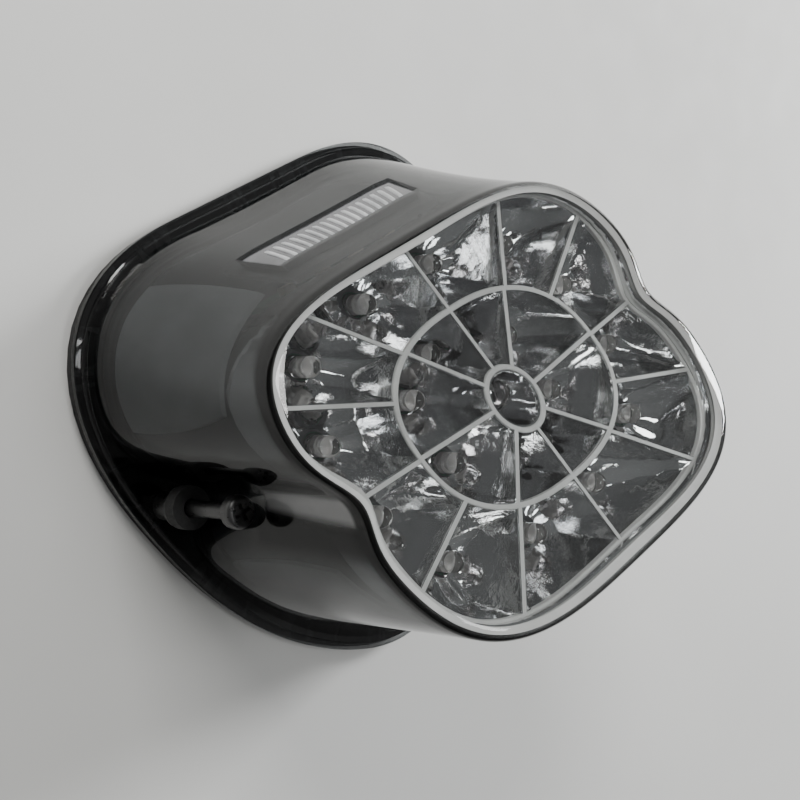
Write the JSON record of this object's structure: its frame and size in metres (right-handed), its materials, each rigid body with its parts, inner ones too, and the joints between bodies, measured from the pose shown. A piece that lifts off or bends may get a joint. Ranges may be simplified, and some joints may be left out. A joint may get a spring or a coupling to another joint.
{
  "type": "tail light",
  "caption": "Motorcycle tail light: smoked one-piece lens with screw channels in its flanks, cellular chrome reflector with LEDs behind, clear ribbed plate-light window",
  "frame": {"origin": "point on the mounting plane midway between the two mounting screws across the machine, 9 mm from their line", "axes": "+Z out of the machine towards the lens face, X across the machine, -Y towards the plate-light window; the lamp is a mirror image of itself about X = 0"},
  "size_m": [0.1358, 0.1354, 0.0983],
  "materials": {
    "smoked_lens": "gloss",
    "clear_plastic": "gloss",
    "chrome": "polished",
    "led_epoxy": "gloss",
    "tinned_lead": "satin",
    "circuit_board": "matte",
    "ceramic": "matte",
    "black_case": "matte",
    "capacitor_sleeve": "gloss",
    "zinc_steel": "satin",
    "phosphor": "gloss",
    "black_plastic": "satin",
    "black_rubber": "matte",
    "orange_silicone": "matte",
    "grey_satin": "satin",
    "pin_brass": "satin"
  },
  "bodies": {
    "lamp": {"lens_cover": "smoked_lens", "inner_liner": "grey_satin", "plate_window": "clear_plastic", "window_gasket": "black_rubber", "reflector": "chrome", "outer_leds": "led_epoxy", "inner_leds": "led_epoxy", "centre_led": "led_epoxy", "led_leads": "tinned_lead", "main_board": "circuit_board", "resistors": "ceramic", "diodes": "black_case", "regulator": "black_case", "capacitor": "capacitor_sleeve", "reflector_screws": "zinc_steel", "board_screws": "zinc_steel", "plate_board": "circuit_board", "plate_leds": "phosphor", "plate_shroud": "black_plastic", "back_housing": "black_plastic", "housing_seal": "black_rubber", "base_gasket": "black_rubber", "connector_socket": "black_plastic", "connector_pins": "pin_brass", "connector_seal": "orange_silicone", "vent_cap": "black_plastic", "seat_sleeves": "zinc_steel", "seat_washers": "zinc_steel", "seat_rings": "black_rubber"},
    "left_washer_body": {"slip_washer_left": "zinc_steel"},
    "left_screw_body": {"screw_left": "zinc_steel"},
    "right_washer_body": {"slip_washer_right": "zinc_steel"},
    "right_screw_body": {"screw_right": "zinc_steel"}
  },
  "joints": [
    {"name": "left_screw_travel", "type": "slide", "parent": "lamp", "child": "left_washer_body", "axis": [0, 0, -1], "range_m": [0, 0.0166]},
    {"name": "left_screw_turn", "type": "hinge", "parent": "left_washer_body", "child": "left_screw_body", "pos_m": [-0.058, -0.009, 0.02], "axis": [0, 0, 1], "continuous": true},
    {"name": "right_screw_travel", "type": "slide", "parent": "lamp", "child": "right_washer_body", "axis": [0, 0, -1], "range_m": [0, 0.0166]},
    {"name": "right_screw_turn", "type": "hinge", "parent": "right_washer_body", "child": "right_screw_body", "pos_m": [0.058, -0.009, 0.02], "axis": [0, 0, 1], "continuous": true}
  ]
}
